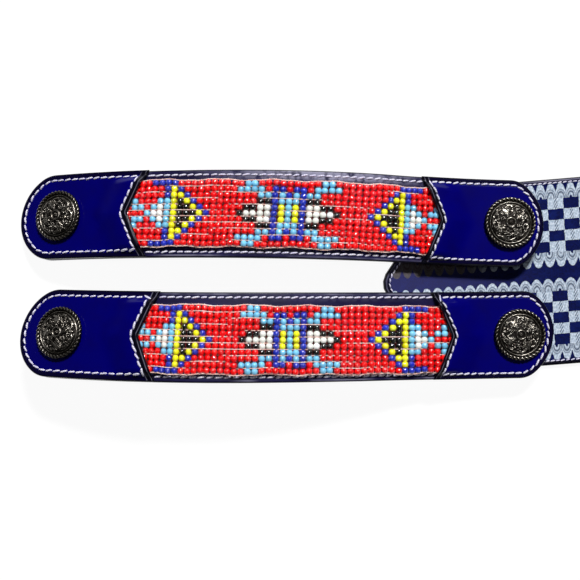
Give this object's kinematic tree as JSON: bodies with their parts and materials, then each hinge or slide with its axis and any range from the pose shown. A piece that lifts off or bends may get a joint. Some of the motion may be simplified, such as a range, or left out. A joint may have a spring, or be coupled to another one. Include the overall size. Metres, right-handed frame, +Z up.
{
  "type": "beaded belt",
  "caption": "Wide leather waist belt faced with printed cotton, closed by beaded straps with patent tabs and silver concho snaps, lying open.",
  "frame": {"origin": "middle of the base on which the belt lies, at the centre of its outline seen from above", "axes": "+X along the band, from the beaded straps to the band's far tip; +Y across it; +Z up, out of the belt's face"},
  "size_m": [0.7888, 0.1064, 0.0409],
  "materials": {
    "leather": "smooth dark navy leather with painted edges",
    "patent_leather": "glossy ultramarine patent leather",
    "printed_cotton": "plain-weave cotton, block-printed blue and white",
    "glass_beads": "glossy opaque glass seed beads on thread",
    "antique_silver": "cast antique silver with blackened recesses",
    "snap_steel": "plain nickel-plated steel"
  },
  "bodies": {
    "root": {"band_leather": "leather", "band_fabric": "printed_cotton", "upper_strap_leather": "leather", "lower_strap_leather": "leather", "upper_beadwork": "glass_beads", "lower_beadwork": "glass_beads", "upper_tab_free": "patent_leather", "upper_tab_fixed": "patent_leather", "lower_tab_free": "patent_leather", "lower_tab_fixed": "patent_leather", "upper_concho_free": "antique_silver", "upper_concho_fixed": "antique_silver", "lower_concho_free": "antique_silver", "lower_concho_fixed": "antique_silver", "upper_socket_free": "snap_steel", "upper_socket_fixed": "snap_steel", "lower_socket_free": "snap_steel", "lower_socket_fixed": "snap_steel", "upper_stud_near": "snap_steel", "upper_stud_far": "snap_steel", "lower_stud_near": "snap_steel", "lower_stud_far": "snap_steel"}
  },
  "joints": []
}
